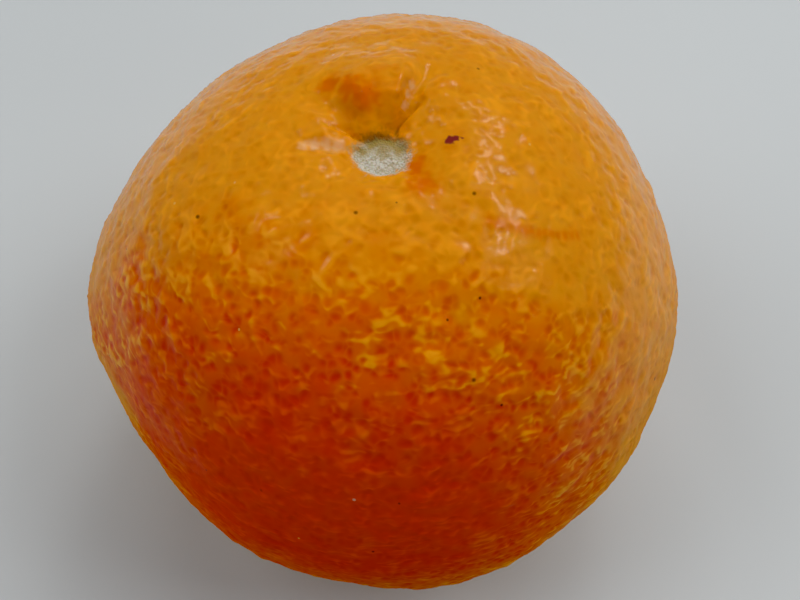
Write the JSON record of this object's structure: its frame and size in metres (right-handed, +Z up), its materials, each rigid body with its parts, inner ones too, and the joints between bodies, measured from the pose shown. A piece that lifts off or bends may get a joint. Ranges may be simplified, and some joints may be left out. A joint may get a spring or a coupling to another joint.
{
  "type": "mandarin",
  "caption": "Whole fresh mandarin with a lopsided oblate body, pebbled orange rind, a sunken stem end with folds round a pale scar, and a small flat that it rests on.",
  "frame": {"origin": "on the surface that the fruit stands on, under the middle of its bounding box", "axes": "+Z up along the stem axis, from the blossom end to the stem end; -Y is the side that is flattened at its left and redder; +X to the right of it"},
  "size_m": [0.0696, 0.069, 0.0599],
  "materials": {
    "rind": "waxy pebbled citrus rind with a soft gloss"
  },
  "bodies": {
    "root": {"mandarin": "rind"}
  },
  "joints": []
}
